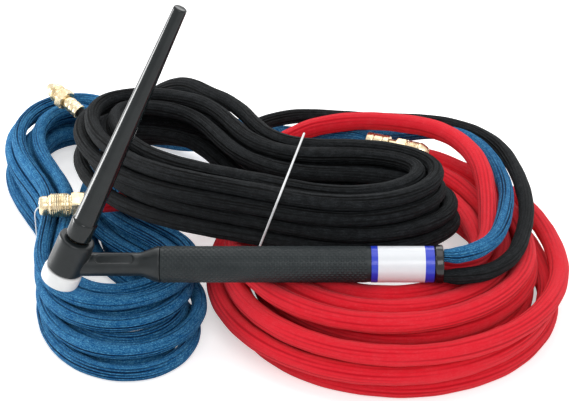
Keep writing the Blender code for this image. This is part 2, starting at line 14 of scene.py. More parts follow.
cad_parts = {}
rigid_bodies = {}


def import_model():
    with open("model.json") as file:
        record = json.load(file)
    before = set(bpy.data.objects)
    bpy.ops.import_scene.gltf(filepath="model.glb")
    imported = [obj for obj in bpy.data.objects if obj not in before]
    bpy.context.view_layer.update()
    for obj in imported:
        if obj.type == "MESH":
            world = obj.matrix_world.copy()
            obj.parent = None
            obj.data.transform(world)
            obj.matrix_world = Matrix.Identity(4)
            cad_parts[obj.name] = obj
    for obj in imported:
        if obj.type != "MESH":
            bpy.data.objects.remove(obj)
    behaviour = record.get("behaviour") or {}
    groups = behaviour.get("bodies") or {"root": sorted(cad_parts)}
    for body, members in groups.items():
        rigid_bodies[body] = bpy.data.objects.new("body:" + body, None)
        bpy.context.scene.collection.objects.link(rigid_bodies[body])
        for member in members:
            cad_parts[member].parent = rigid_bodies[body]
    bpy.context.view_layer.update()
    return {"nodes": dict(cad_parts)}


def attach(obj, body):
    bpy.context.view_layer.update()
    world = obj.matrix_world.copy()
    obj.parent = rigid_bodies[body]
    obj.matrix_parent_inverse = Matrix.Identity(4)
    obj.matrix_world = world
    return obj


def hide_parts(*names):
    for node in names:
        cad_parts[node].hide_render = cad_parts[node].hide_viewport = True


for old in list(bpy.data.objects):
    bpy.data.objects.remove(old, do_unlink=True)
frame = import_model()
scene = bpy.context.scene
scene.view_settings.view_transform = 'Standard'

# Sizes in metres, as in the CAD source or fitted to it
CLEAR = 0.0003
MID_X = 0.0144
AXIS_Z = 0.0628
HEAD_X = MID_X - 0.1328
HEAD_ANGLE = radians(66)
HANDLE_FRONT = MID_X - 0.0753
HANDLE_REAR = MID_X + 0.0906
HANDLE_R = 0.0111
HANDLE_BORE_R = 0.0092
LABEL_FRONT = MID_X + 0.0524
LABEL_SKIN = 0.0003
FRONT_BAND_END = LABEL_FRONT + 0.0040
REAR_BAND_START = HANDLE_REAR - 0.0056
PLUG_R = HANDLE_BORE_R - CLEAR
PLUG_REAR = HANDLE_FRONT + 0.030
BOOT_R = 0.0119
BOOT_LENGTH = 0.0052
BOOT_FACE = HANDLE_REAR + CLEAR
BOOT_REAR = HANDLE_REAR + CLEAR + BOOT_LENGTH
BOOT_PLUG_LENGTH = 0.0110
NECK_R = 0.0072
POCKET_X = MID_X - 0.1030
POCKET_LENGTH = 0.0235
POCKET_HALF = 0.0030
POCKET_FLOOR_R = NECK_R - 0.0013
POCKET_TURN = radians(62)
FLARE_START = MID_X - 0.0890
HEAD_R = 0.01125
HEAD_LOW = -0.0030
HEAD_TOP = 0.0204
CORE_R = 0.0060
CORE_NOSE_R = 0.0050
CAP_THREAD_R = 0.0048
GASKET_R = 0.0121
GASKET_LOW = -0.0130
GASKET_TOP = HEAD_LOW - CLEAR
RING_R = 0.00055
SEAL_R = 0.0058
SEAL_T = HEAD_TOP + CLEAR + RING_R
COLLAR_LOW = SEAL_T + RING_R + CLEAR
COLLAR_R = 0.0080
COLLAR_TOP = COLLAR_LOW + 0.0116
CAP_FOOT = COLLAR_LOW + 0.0126
CAP_FOOT_R = 0.00725
CAP_TIP = 0.1845
CAP_TIP_R = 0.0040
CAP_BORE_R = 0.0022
STEM_R = CAP_THREAD_R - CLEAR
STEM_LOW = 0.0060
RED_D = 0.0125
BLUE_D = 0.0098
BLACK_D = 0.0098
STRAND_GAP = 0.0006
SQUASH = 0.4
TIE_R = 0.0006
HANDLE_AXIS = Vector((1, 0, 0))
HANDLE_ZERO = Vector((0, 0, AXIS_Z))
HEAD_AXIS = Vector((cos(HEAD_ANGLE), 0, sin(HEAD_ANGLE)))
HEAD_ZERO = Vector((HEAD_X, 0, AXIS_Z))


# Camera at the photograph's angle
def photo_camera():
    """a long lens looking along +Y and 30 degrees down"""
    data = bpy.data.cameras.new("photo_camera")
    data.lens = 104.08
    data.sensor_width = 36
    data.clip_start = 0.05
    eye = bpy.data.objects.new("photo_camera", data)
    eye.location = (MID_X, -0.8467, 0.5964)
    eye.rotation_euler = (radians(60), 0, 0)
    scene.collection.objects.link(eye)
    scene.camera = eye


photo_camera()


# Routes of the three hoses, from the same values as the CAD source
FINE = 6                  # points here for each point of the CAD coils
LOOP_POINTS = 24          # points of the CAD coils in one loop
SPAN_POINTS = 24          # points from one point of a lead or tail to the next
JOIN = 0.003              # length left for a curve to meet a coil or a brass end
ROUGH_STEP = 0.001        # between the points of a line while it is eased
RING_STEP = 0.0027        # between the rings of a finished hose
EASE_REACH = 9            # points on either side that ease a meeting


def oval(a, front, back):
    """a rounded outline, longer at its back than at its front"""
    return lambda e: (a * cos(e), (front if sin(e) < 0 else back) * sin(e))


def hank(front, back, half, full_front, full_back, waist, reach, wide_front, wide_back,
         curl_front, curl_back):
    """a long outline with two lobes, drawn in at the waist, along a curved axis"""
    def outline(e):
        c = cos(e)
        x = c * (front if c > 0 else back)
        full = full_front if c > 0 else full_back
        y = sin(e) * (half * (1 + full * c * c) - (half - waist) * exp(-(x / reach) ** 2))
        y *= wide_back + (wide_front - wide_back) * (0.5 + 0.5 * c)
        curl = curl_front if c > 0 else curl_back
        turn = curl * x
        return sin(turn) / curl - y * sin(turn), (1 - cos(turn)) / curl + y * cos(turn)
    return outline


def inset(phase, turns, layers, step_in, step_out):
    """how far a strand lies inside the outline: in and out by turns, with rounded corners"""
    soft = 0.25
    total = 0
    for k in range(layers):
        slope = step_in if k % 2 == 0 else -step_out
        total += slope * min(max(phase - turns * k, 0), turns)
        past = phase - turns * (k + 1)
        if k < layers - 1 and abs(past) < soft:
            change = (-step_out if k % 2 == 0 else step_in) - slope
            total += change * ((past + soft) ** 2 / (4 * soft) - max(past, 0))
    return total


def layer(phase, turns, layers):
    """the layer a strand lies in, climbing in the half turn where the spiral reverses"""
    climb = 0.5
    level = 0
    for k in range(1, layers):
        s = min(max((phase - turns * k) / climb + 0.5, 0), 1)
        level += s * s * (3 - 2 * s)
    return level


def wound(outline, d, turns, layers, steps, centre, tilt, way, base, span, seam,
          drift=0, gain=0, draw=0, spread=0):
    """the middle line of a coil of piled loops"""
    count = round((span[1] - span[0]) * LOOP_POINTS) * FINE
    nudge = 0.0001
    c, s = cos(radians(tilt)), sin(radians(tilt))
    line = []
    for i in range(count + 1):
        phase = span[0] + (span[1] - span[0]) * i / count
        e = radians(seam) + way * 2 * pi * phase
        x, y = outline(e)
        x2, y2 = outline(e + nudge * way)
        run = hypot(x2 - x, y2 - y) * way
        fold = (0.5 + 0.5 * cos(e)) ** 2
        eye = (0.5 - 0.5 * cos(e)) ** 2
        level = layer(phase, turns, layers)
        q = inset(phase, turns, layers, *steps) - span[0] * steps[0]
        q *= 1 + gain * fold + spread * eye
        u = x - (y2 - y) / run * q - draw * fold * level / (layers - 1)
        v = y + (x2 - x) / run * q
        z = base + d / 2 + level * (d + STRAND_GAP)
        line.append((MID_X + centre[0] + c * u - s * v,
                     centre[1] + drift * phase / (turns * layers) + s * u + c * v, z))
    return np.array(line)


def unit(v):
    """a vector's direction"""
    return np.array(v) / np.linalg.norm(v)


def smooth(route, first_way, last_way):
    """fine points on a smooth curve through the points of a route, with set directions at its ends"""
    spots = [np.array(p, float) for p in route]
    before = spots[1] - 2 * first_way * (first_way @ (spots[1] - spots[0]))
    after = spots[-2] + 2 * last_way * (last_way @ (spots[-1] - spots[-2]))
    spots = [before] + spots + [after]
    fine = []
    for p0, p1, p2, p3 in zip(spots, spots[1:], spots[2:], spots[3:]):
        t1 = np.linalg.norm(p1 - p0) ** 0.5
        t2 = t1 + np.linalg.norm(p2 - p1) ** 0.5
        t3 = t2 + np.linalg.norm(p3 - p2) ** 0.5
        for t in np.linspace(t1, t2, SPAN_POINTS, endpoint=False):
            a1 = p0 + (p1 - p0) * t / t1
            a2 = p1 + (p2 - p1) * (t - t1) / (t2 - t1)
            a3 = p2 + (p3 - p2) * (t - t2) / (t3 - t2)
            b1 = a1 + (a2 - a1) * t / t2
            b2 = a2 + (a3 - a2) * (t - t1) / (t3 - t1)
            fine.append(b1 + (b2 - b1) * (t - t1) / (t2 - t1))
    fine.append(spots[-2])
    return np.array(fine)


def mm(points):
    """route points given in millimetres from the middle of the view"""
    return [np.array((MID_X + 0.001 * x, 0.001 * y, 0.001 * z)) for x, y, z in points]


def run_along(line):
    """how far along a line each of its points lies"""
    return np.concatenate([[0], np.cumsum(np.linalg.norm(np.diff(line, axis=0), axis=1))])


def evenly(line, step):
    """the same line with points at even steps along it"""
    run = run_along(line)
    marks = np.linspace(0, run[-1], round(run[-1] / step) + 1)
    return np.stack([np.interp(marks, run, line[:, k]) for k in range(3)], axis=1)


def whole_hose(coil, d, lead, tail, end, out):
    """lead, coil and tail as one even line, eased where they meet"""
    first = unit(coil[0] - coil[FINE])
    last = unit(coil[-1] - coil[-1 - FINE])
    coil = np.vstack([coil[0] + first * d, coil, coil[-1] + last * d])
    run_in = smooth(mm(lead) + [coil[0] + first * JOIN], np.array(HANDLE_AXIS), -first)
    run_out = smooth([coil[-1] + last * JOIN] + mm(tail) + [end - out * JOIN], last, out)
    line = evenly(np.vstack([run_in, coil, run_out, end]), ROUGH_STEP)
    weight = np.hanning(2 * EASE_REACH + 3)[1:-1]
    weight /= weight.sum()
    eased = np.stack([np.convolve(line[:, k], weight, 'same') for k in range(3)], axis=1)
    line[EASE_REACH:-EASE_REACH] = eased[EASE_REACH:-EASE_REACH]
    return evenly(line, RING_STEP)


red_outline = oval(0.1120, 0.1120, 0.1520)
red_coil = wound(red_outline, RED_D, turns=3, layers=4, steps=(0.0199, 0.0149), centre=(0.0662, 0.0535),
                 tilt=0, way=-1, base=(SQUASH - 0.5) * RED_D, span=(0.90, 11.78), seam=77, drift=0.002)[::-1]
blue_outline = hank(front=0.159, back=0.181, half=0.0674, full_front=0.19, full_back=1.55, waist=0.035,
                    reach=0.0752, wide_front=1.07, wide_back=0.52, curl_front=3.25, curl_back=1.0)
blue_hank = wound(blue_outline, BLUE_D, turns=2, layers=4, steps=(0.0113, 0.0109), centre=(-0.1375, 0.1140),
                  tilt=-78.5, way=1, base=(SQUASH - 0.5) * BLUE_D, span=(0.13, 8.0), seam=115,
                  gain=0.10, draw=0.0357, spread=0.5)
black_outline = hank(front=0.1253, back=0.156, half=0.0521, full_front=0.56, full_back=0.48, waist=0.0395,
                     reach=0.0508, wide_front=0.695, wide_back=1.284, curl_front=6.7, curl_back=6.7)
black_hank = wound(black_outline, BLACK_D, turns=2, layers=4, steps=(0.0120, 0.0115), centre=(-0.009, 0.070),
                   tilt=-20.8, way=1, base=0.0515, span=(0.10, 8.08), seam=114, draw=0.0148, spread=0.5)
BLACK_SLOPE = 0.026       # the black hank lies higher towards the head
black_hank[:, 2] += BLACK_SLOPE * (MID_X + 0.112 - black_hank[:, 0])

POWER_END, POWER_WAY = mm([(-128.3, 97, 49.0)])[0], np.array((-0.9962, -0.0872, 0))
GAS_END, GAS_WAY = mm([(-150.5, 232.6, 48.2)])[0], np.array((-0.7200, 0.6000, 0.3487))
WATER_END, WATER_WAY = mm([(58.3, 172.2, 57.3)])[0], np.array((0.9170, -0.3989, 0))
LEADS = {
    "red": [(96.5, 5.7, 60.8), (104, 5.8, 60.7), (114, 10.5, 60), (122, 20.5, 58.8), (127.5, 36, 57.8),
            (130.8, 60, 57.8), (132.5, 87, 61.2), (131.4, 113, 66), (125.5, 137, 67.8), (115, 156.5, 68.2),
            (100, 170, 68), (81, 177, 67.9), (58, 179, 68.6), (37, 176.5, 68.3), (14, 173.5, 64),
            (-7, 164, 55.5), (-17.5, 146, 49)],
    "blue": [(96.5, -1.5, 70.1), (105, -1.3, 70.1), (117, 4.6, 70.1), (129, 20, 68.5), (136.5, 41, 66.5),
             (142, 66, 64.4), (145.6, 92, 60.5), (146, 119, 56.8), (142.5, 145, 56), (135, 166, 56),
             (123, 182.5, 55.5), (106, 195, 51.5), (83, 202.5, 45.6), (60, 207.5, 43), (36, 213, 40.5),
             (8, 221, 35), (-22, 231.5, 27), (-48, 243, 17), (-71, 255, 9), (-95, 269, 5.1)],
    "black": [(96.5, -5.7, 57.8), (106, -5.5, 57.7), (124, 0.5, 56.9), (141, 19, 56.2), (151, 46, 56),
              (157.3, 76, 56), (158.5, 104, 56), (156, 135, 56), (148.5, 165, 56), (133, 190.5, 54.6),
              (111, 206, 53), (85, 211.5, 52.4), (60, 209.5, 54), (36, 204.5, 58.5), (10, 197.5, 63),
              (-11, 188.5, 63.5), (-25, 179.2, 62), (-36, 174.4, 60.8)]}
TAILS = {
    "red": [(-18, 179, 6), (-46, 155, 12), (-68, 129, 27), (-86, 112.5, 42.5), (-100, 104, 47.6)],
    "blue": [(-102, 216, 35.6), (-92.5, 229, 36.8), (-76, 235, 38.4), (-57, 230, 41), (-36, 217.5, 45),
             (-15, 203, 49.6), (5, 190.5, 52.6), (28, 183.5, 54.8)],
    "black": [(-69, 191.5, 91), (-84, 202.5, 82.5), (-99, 211.5, 68.5), (-113, 217.5, 55.5),
              (-127, 221.8, 48), (-139, 225.8, 46)]}
red_run = whole_hose(red_coil, RED_D, LEADS["red"], TAILS["red"], POWER_END, POWER_WAY)
blue_run = whole_hose(blue_hank, BLUE_D, LEADS["blue"], TAILS["blue"], WATER_END, WATER_WAY)
black_run = whole_hose(black_hank, BLACK_D, LEADS["black"], TAILS["black"], GAS_END, GAS_WAY)


# Building blocks for materials
def put(tree, kind, inputs=(), **settings):
    """a node with its settings, its inputs linked or set"""
    made = tree.nodes.new(kind)
    for key, value in settings.items():
        setattr(made, key, value)
    for key, value in dict(inputs).items():
        if isinstance(value, bpy.types.NodeSocket):
            tree.links.new(value, made.inputs[key])
        else:
            made.inputs[key].default_value = value
    return made


def math(tree, operation, a, b=0.0):
    """one sum"""
    return put(tree, 'ShaderNodeMath', {0: a, 1: b}, operation=operation).outputs[0]


def blend(tree, share, a, b):
    """one colour going over into another"""
    colours = {0: share, 6: a if isinstance(a, bpy.types.NodeSocket) else (*a, 1),
               7: b if isinstance(b, bpy.types.NodeSocket) else (*b, 1)}
    return put(tree, 'ShaderNodeMix', colours, data_type='RGBA').outputs[2]


def between(tree, value, low, high, start=0.0, stop=1.0):
    """a value stretched from one range to another"""
    return put(tree, 'ShaderNodeMapRange', {0: value, 1: start, 2: stop, 3: low, 4: high}).outputs[0]


def grain(tree, place, scale, detail=3.0, rough=0.5, stretch=None):
    """soft noise, drawn out along an axis if asked"""
    if stretch is not None:
        place = put(tree, 'ShaderNodeMapping', {0: place, 3: stretch}).outputs[0]
    noise = {0: place, 'Scale': scale, 'Detail': detail, 'Roughness': rough}
    return put(tree, 'ShaderNodeTexNoise', noise).outputs[0]


def new_finish(name, **sockets):
    """a Principled material, its shader and its tree"""
    made = bpy.data.materials.new(name)
    made.use_nodes = True
    shader = made.node_tree.nodes["Principled BSDF"]
    for key, value in sockets.items():
        shader.inputs[key.replace("_", " ")].default_value = value
    return made, shader, made.node_tree


def object_place(tree):
    """place on the piece, in metres"""
    return put(tree, 'ShaderNodeTexCoord').outputs['Object']


def raise_surface(tree, shader, height, depth):
    """bump from a height"""
    bump = put(tree, 'ShaderNodeBump', {'Height': height, 'Distance': depth, 'Strength': 1.0})
    tree.links.new(bump.outputs[0], shader.inputs['Normal'])


def moulded(name, dark, light, rough, pebble, depth, **sockets):
    """moulded rubber or plastic: mottled colour, uneven gloss and a fine pebbled skin"""
    made, shader, tree = new_finish(name, **sockets)
    place = object_place(tree)
    mottle = between(tree, grain(tree, place, 140.0), 0, 1, 0.3, 0.7)
    gloss = between(tree, grain(tree, place, 420.0), *rough, 0.3, 0.7)
    tree.links.new(blend(tree, mottle, dark, light), shader.inputs['Base Color'])
    tree.links.new(gloss, shader.inputs['Roughness'])
    raise_surface(tree, shader, grain(tree, place, pebble, 2.0), depth)
    return made


def metal(name, dark, light, rough):
    """turned metal: slight tarnish, fine cutting marks"""
    made, shader, tree = new_finish(name, Metallic=1.0)
    place = object_place(tree)
    tarnish = between(tree, grain(tree, place, 260.0, 4.0), 0, 1, 0.35, 0.7)
    gloss = between(tree, grain(tree, place, 900.0), *rough, 0.3, 0.7)
    tree.links.new(blend(tree, tarnish, light, dark), shader.inputs['Base Color'])
    tree.links.new(gloss, shader.inputs['Roughness'])
    raise_surface(tree, shader, grain(tree, place, 2600.0, 2.0), 0.000005)
    return made


def label_film():
    """white film with a blue band at each end"""
    made, shader, tree = new_finish("label_film", Coat_Weight=0.2)
    place = object_place(tree)
    x = put(tree, 'ShaderNodeSeparateXYZ', {0: place}).outputs[0]
    front_band = math(tree, 'LESS_THAN', x, FRONT_BAND_END)
    rear_band = math(tree, 'GREATER_THAN', x, REAR_BAND_START)
    banded = math(tree, 'MAXIMUM', front_band, rear_band)
    cloud = grain(tree, place, 180.0)
    white = blend(tree, cloud, (0.79, 0.81, 0.85), (0.84, 0.86, 0.89))
    blue = blend(tree, cloud, (0.008, 0.030, 0.52), (0.012, 0.045, 0.62))
    tree.links.new(blend(tree, banded, white, blue), shader.inputs['Base Color'])
    gloss = between(tree, grain(tree, place, 500.0), 0.28, 0.40, 0.3, 0.7)
    tree.links.new(gloss, shader.inputs['Roughness'])
    raise_surface(tree, shader, grain(tree, place, 90.0), 0.00004)
    return made


def woven_cover(name, deep, main, light, flecks, yarns, sheen, shine):
    """braided cover: yarns crossing on the slant, pleats along the hose and lighter threads, with painted
    shade in the deep colour along the pleat grooves and between the yarn crossings, and lighter threads that
    on the red and black covers are painted highlight
    """
    made, shader, tree = new_finish(name, Sheen_Weight=sheen, Sheen_Roughness=0.4, Specular_IOR_Level=shine)
    cover = put(tree, 'ShaderNodeAttribute', attribute_name="cover").outputs['Vector']
    pleat = put(tree, 'ShaderNodeAttribute', attribute_name="pleat").outputs['Fac']
    wrap = put(tree, 'ShaderNodeUVMap', uv_map="wrap").outputs[0]
    flat = put(tree, 'ShaderNodeSeparateXYZ', {0: wrap})
    around = math(tree, 'MULTIPLY', flat.outputs[0], 2 * pi * yarns)
    along = math(tree, 'MULTIPLY', flat.outputs[1], 2 * pi * yarns)
    right = math(tree, 'SINE', math(tree, 'ADD', around, along))
    left = math(tree, 'SINE', math(tree, 'SUBTRACT', around, along))
    braid = math(tree, 'MULTIPLY', right, left)
    thread = grain(tree, cover, 9.0, 4.0, 0.6, (1.0, 1.0, 0.12))
    speck = grain(tree, cover, 9.0, 3.0, 0.7, (1.0, 1.0, 0.55))
    drift = grain(tree, cover, 1.1, 2.0)
    # lighter threads: paler yarn flecks on the blue cover, painted highlight along the hose on the red and
    # black covers
    streaks = between(tree, thread, 0, 0.35, 0.42, 0.68)
    pale_yarn_and_painted_highlight = math(tree, 'ADD', streaks, between(tree, speck, 0, flecks, 0.50, 0.66))
    lit = math(tree, 'ADD', pale_yarn_and_painted_highlight, between(tree, drift, -0.15, 0.15, 0.3, 0.7))
    colour = blend(tree, lit, main, light)
    # painted shade: the deep colour darkens the pleat grooves and the hollows between yarn crossings
    painted_groove_shade = between(tree, pleat, 0.0, 1.0, 0.15, 0.70)
    shade = math(tree, 'ADD', painted_groove_shade, between(tree, braid, 0.18, 0.0, -1.0, 1.0))
    tree.links.new(blend(tree, shade, colour, deep), shader.inputs['Base Color'])
    tree.links.new(between(tree, speck, 0.62, 0.85, 0.3, 0.7), shader.inputs['Roughness'])
    crossing = math(tree, 'MULTIPLY', braid, 0.5)
    height = math(tree, 'ADD', crossing, math(tree, 'MULTIPLY', thread, 1.4))
    raise_surface(tree, shader, height, 0.00022)
    return made


RUBBER = moulded("moulded_rubber", (0.008, 0.011, 0.012), (0.014, 0.018, 0.020), (0.28, 0.40),
                 1500.0, 0.00004, Specular_IOR_Level=0.32)
GRIP = moulded("grip_plastic", (0.009, 0.014, 0.016), (0.016, 0.022, 0.024), (0.36, 0.46),
               1800.0, 0.00004, Specular_IOR_Level=0.28)
GLOSS = moulded("gloss_ring", (0.004, 0.004, 0.005), (0.007, 0.007, 0.008), (0.14, 0.24), 700.0, 0.00001)
CAP = moulded("cap_plastic", (0.006, 0.009, 0.010), (0.011, 0.015, 0.016), (0.08, 0.14),
              500.0, 0.00001, Specular_IOR_Level=0.32)
SEAL = moulded("seal_rubber", (0.006, 0.006, 0.006), (0.012, 0.012, 0.012), (0.50, 0.65), 1800.0, 0.00003)
BARE_HOSE = moulded("bare_hose", (0.012, 0.012, 0.013), (0.022, 0.022, 0.024), (0.55, 0.70),
                    1400.0, 0.00004)
GASKET = moulded("white_gasket", (0.84, 0.85, 0.85), (0.89, 0.90, 0.90), (0.34, 0.44), 900.0, 0.00002)
TIE = moulded("tie_plastic", (0.78, 0.79, 0.80), (0.86, 0.87, 0.88), (0.35, 0.50), 2200.0, 0.00003)
BRASS = metal("brass", (0.72, 0.57, 0.34), (0.87, 0.75, 0.52), (0.24, 0.32))
COPPER = metal("copper", (0.60, 0.28, 0.16), (0.78, 0.42, 0.27), (0.28, 0.42))
LABEL = label_film()
# Each deep colour is painted shade for the pleat grooves; the red light colour is the lit red and the black
# light streaks are lit rib lines, both painted highlight; the blue light colour is its paler yarn
RED_COVER = woven_cover("red_cover", (0.64, 0.004, 0.015), (0.97, 0.018, 0.037), (0.98, 0.056, 0.078),
                        flecks=0.6, yarns=44, sheen=0.08, shine=0.12)
BLUE_COVER = woven_cover("blue_cover", (0.001, 0.014, 0.050), (0.008, 0.120, 0.330), (0.13, 0.45, 0.74),
                         flecks=1.0, yarns=36, sheen=0.01, shine=0.08)
BLACK_COVER = woven_cover("black_cover", (0.001, 0.001, 0.001), (0.005, 0.006, 0.007), (0.044, 0.050, 0.055),
                          flecks=0.6, yarns=36, sheen=0.0, shine=0.14)


# Building blocks for pieces
def piece(name, mesh, material, body, slot, *nodes):
    """a finished piece that rides on a body and stands for CAD nodes"""
    mesh.materials.clear()
    mesh.materials.append(material)
    mesh.shade_smooth()
    mesh.set_sharp_from_angle(angle=radians(38))
    obj = bpy.data.objects.new(name, mesh)
    scene.collection.objects.link(obj)
    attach(obj, body)
    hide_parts(*nodes)
    return obj


def shape_holder(mesh):
    """an object that only lends its shape"""
    obj = bpy.data.objects.new(mesh.name, mesh)
    scene.collection.objects.link(obj)
    return obj


def plain_mesh(obj):
    """an object's shape with its modifiers applied"""
    bpy.context.view_layer.update()
    return bpy.data.meshes.new_from_object(obj.evaluated_get(bpy.context.evaluated_depsgraph_get()))


def stand(origin, way):
    """a place with its own z along a direction"""
    return Matrix.Translation(Vector(origin)) @ Vector(way).to_track_quat('Z', 'Y').to_matrix().to_4x4()


def softened(profile, bends=5):
    """a closed outline of (radius, height, edge radius) points with its edges rounded"""
    out = []
    for i, (r, z, edge) in enumerate(profile):
        spot = np.array((r, z))
        if edge == 0:
            out.append(spot)
            continue
        back = np.array(profile[i - 1][:2]) - spot
        ahead = np.array(profile[(i + 1) % len(profile)][:2]) - spot
        cut = min(edge, 0.45 * np.linalg.norm(back), 0.45 * np.linalg.norm(ahead))
        a, b = spot + unit(back) * cut, spot + unit(ahead) * cut
        for t in np.linspace(0, 1, bends):
            out.append(a * (1 - t) ** 2 + 2 * spot * t * (1 - t) + b * t ** 2)
    return out


def turned(name, profile, steps=96, flats=None):
    """a turned mesh along its own z; flats = (half width, low, high) cuts six flats between two heights"""
    outline = softened(profile)
    made = bmesh.new()
    rings = []
    hair = 1e-7
    for r, z in outline:
        if r < hair:
            rings.append([made.verts.new((0, 0, z))] * steps)
            continue
        ring = []
        for k in range(steps):
            a = 2 * pi * k / steps
            reach = r
            if flats and flats[1] - hair <= z <= flats[2] + hair:
                reach = min(r, flats[0] / cos((a + pi / 6) % (pi / 3) - pi / 6))
            ring.append(made.verts.new((reach * cos(a), reach * sin(a), z)))
        rings.append(ring)
    for one, two in zip(rings, rings[1:] + rings[:1]):
        for k in range(steps):
            ahead = (k + 1) % steps
            corners = list(dict.fromkeys((one[k], one[ahead], two[ahead], two[k])))
            if len(corners) > 2:
                made.faces.new(corners)
    bmesh.ops.recalc_face_normals(made, faces=made.faces)
    mesh = bpy.data.meshes.new(name)
    made.to_mesh(mesh)
    made.free()
    return mesh


def placed(mesh, origin, way):
    """the mesh moved to its place"""
    mesh.transform(stand(origin, way))
    return mesh


def nodes_tree(name, inputs):
    """an empty Geometry Nodes tree with named inputs"""
    tree = bpy.data.node_groups.new(name, 'GeometryNodeTree')
    tree.interface.new_socket("Geometry", in_out='OUTPUT', socket_type='NodeSocketGeometry')
    tree.interface.new_socket("Geometry", in_out='INPUT', socket_type='NodeSocketGeometry')
    for label, kind in inputs:
        tree.interface.new_socket(label, in_out='INPUT', socket_type=kind)
    return tree, tree.nodes.new('NodeGroupInput'), tree.nodes.new('NodeGroupOutput')


def close_tree(tree, given, result, made):
    """joins what a tree makes to the piece it is given, as plain faces of one material"""
    both = tree.nodes.new('GeometryNodeJoinGeometry')
    tree.links.new(given.outputs["Geometry"], both.inputs[0])
    tree.links.new(made, both.inputs[0])
    real = put(tree, 'GeometryNodeRealizeInstances', {0: both.outputs[0]})
    coat = put(tree, 'GeometryNodeSetMaterial', {
        'Geometry': real.outputs[0], 'Material': given.outputs["Material"]})
    tree.links.new(coat.outputs[0], result.inputs[0])
    return tree


FLOAT, WHOLE, LOOK = 'NodeSocketFloat', 'NodeSocketInt', 'NodeSocketMaterial'


def knurl_rows():
    """Geometry Nodes: staggered rows of small rounded bumps round a bar"""
    tree, given, result = nodes_tree("knurl_rows", [
        ("Rows", WHOLE), ("Bumps in a row", WHOLE), ("Radius", FLOAT), ("Start", FLOAT), ("Pitch", FLOAT),
        ("Length", FLOAT), ("Width", FLOAT), ("Height", FLOAT), ("Material", LOOK)])
    size = given.outputs
    index = tree.nodes.new('GeometryNodeInputIndex').outputs[0]
    row = math(tree, 'MODULO', index, size["Rows"])
    step = math(tree, 'FLOOR', math(tree, 'DIVIDE', index, size["Rows"]))
    half = math(tree, 'MULTIPLY', math(tree, 'MODULO', row, 2.0), 0.5)
    climb = math(tree, 'MULTIPLY', math(tree, 'ADD', step, half), size["Pitch"])
    z = math(tree, 'ADD', size["Start"], climb)
    angle = math(tree, 'DIVIDE', math(tree, 'MULTIPLY', row, 2 * pi), size["Rows"])
    x = math(tree, 'MULTIPLY', size["Radius"], math(tree, 'COSINE', angle))
    y = math(tree, 'MULTIPLY', size["Radius"], math(tree, 'SINE', angle))
    spots = put(tree, 'GeometryNodePoints', {
        'Count': math(tree, 'MULTIPLY', size["Rows"], size["Bumps in a row"]),
        'Position': put(tree, 'ShaderNodeCombineXYZ', {0: x, 1: y, 2: z}).outputs[0]})
    bump = put(tree, 'GeometryNodeMeshUVSphere', {'Segments': 8, 'Rings': 4, 'Radius': 1.0})
    about_z = put(tree, 'ShaderNodeCombineXYZ', {2: angle})
    turn = put(tree, 'FunctionNodeEulerToRotation', {0: about_z.outputs[0]})
    spread = put(tree, 'ShaderNodeCombineXYZ', {0: size["Height"], 1: size["Width"], 2: size["Length"]})
    bumps = put(tree, 'GeometryNodeInstanceOnPoints', {
        'Points': spots.outputs[0], 'Instance': bump.outputs[0], 'Rotation': turn.outputs[0],
        'Scale': spread.outputs[0]})
    return close_tree(tree, given, result, bumps.outputs[0])


def thread_crest():
    """Geometry Nodes: one thread crest winding up a bar"""
    tree, given, result = nodes_tree("thread_crest", [
        ("Radius", FLOAT), ("Start", FLOAT), ("Length", FLOAT), ("Turns", FLOAT), ("Crest", FLOAT),
        ("Material", LOOK)])
    size = given.outputs
    path = put(tree, 'GeometryNodeCurveSpiral', {
        'Resolution': 40, 'Rotations': size["Turns"], 'Start Radius': size["Radius"],
        'End Radius': size["Radius"], 'Height': size["Length"]})
    section = put(tree, 'GeometryNodeCurvePrimitiveCircle', {'Resolution': 6, 'Radius': size["Crest"]})
    ridge = put(tree, 'GeometryNodeCurveToMesh', {
        'Curve': path.outputs[0], 'Profile Curve': section.outputs[0], 'Fill Caps': True})
    lift = put(tree, 'ShaderNodeCombineXYZ', {2: size["Start"]})
    moved = put(tree, 'GeometryNodeTransform', {'Geometry': ridge.outputs[0], 'Translation': lift.outputs[0]})
    return close_tree(tree, given, result, moved.outputs[0])


def grown(mesh, tree, **sizes):
    """the mesh with what a tree adds, as a plain mesh"""
    obj = shape_holder(mesh)
    step = obj.modifiers.new(tree.name, 'NODES')
    step.node_group = tree
    for item in tree.interface.items_tree:
        key = item.name.replace(" ", "_")
        if key in sizes and item.in_out == 'INPUT':
            step[item.identifier] = sizes[key]
    plain = plain_mesh(obj)
    bpy.data.objects.remove(obj, do_unlink=True)
    return plain


# Covered hoses
COVER_SKIN = 0.0002       # how far a cover stands outside its CAD solid
END_TAPER = 0.009         # length over which a cover is drawn in at an end
END_SHARE = 0.74          # what is left of its radius there
PLEATS = 16               # round one cover
RED_PLEAT = 0.00050       # depth of the red cover's pleats
PLEAT = 0.00085           # depth of the other covers' pleats


